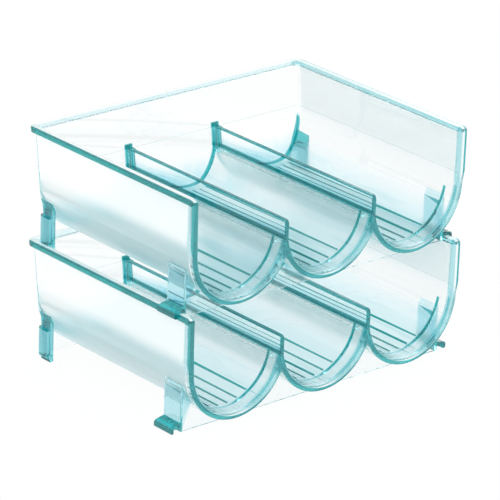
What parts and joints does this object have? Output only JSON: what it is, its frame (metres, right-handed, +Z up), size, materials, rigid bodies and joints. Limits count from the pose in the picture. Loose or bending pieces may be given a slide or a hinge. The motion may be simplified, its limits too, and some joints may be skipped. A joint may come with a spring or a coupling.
{
  "type": "bottle rack",
  "caption": "Stackable bottle rack in clear teal plastic: a lower and an upper open-front tray with half-round troughs, upright dividers, a beaded rim and hooked feet.",
  "frame": {"origin": "centre of the bounding box in plan, on the plane the feet stand on", "axes": "+X to the right as seen facing the open fronts, +Y towards the back walls, +Z up"},
  "size_m": [0.3076, 0.218, 0.2085],
  "materials": {
    "tray": "clear, polished"
  },
  "bodies": {
    "root": {"lower_tray": "tray", "upper_tray": "tray"}
  },
  "joints": []
}
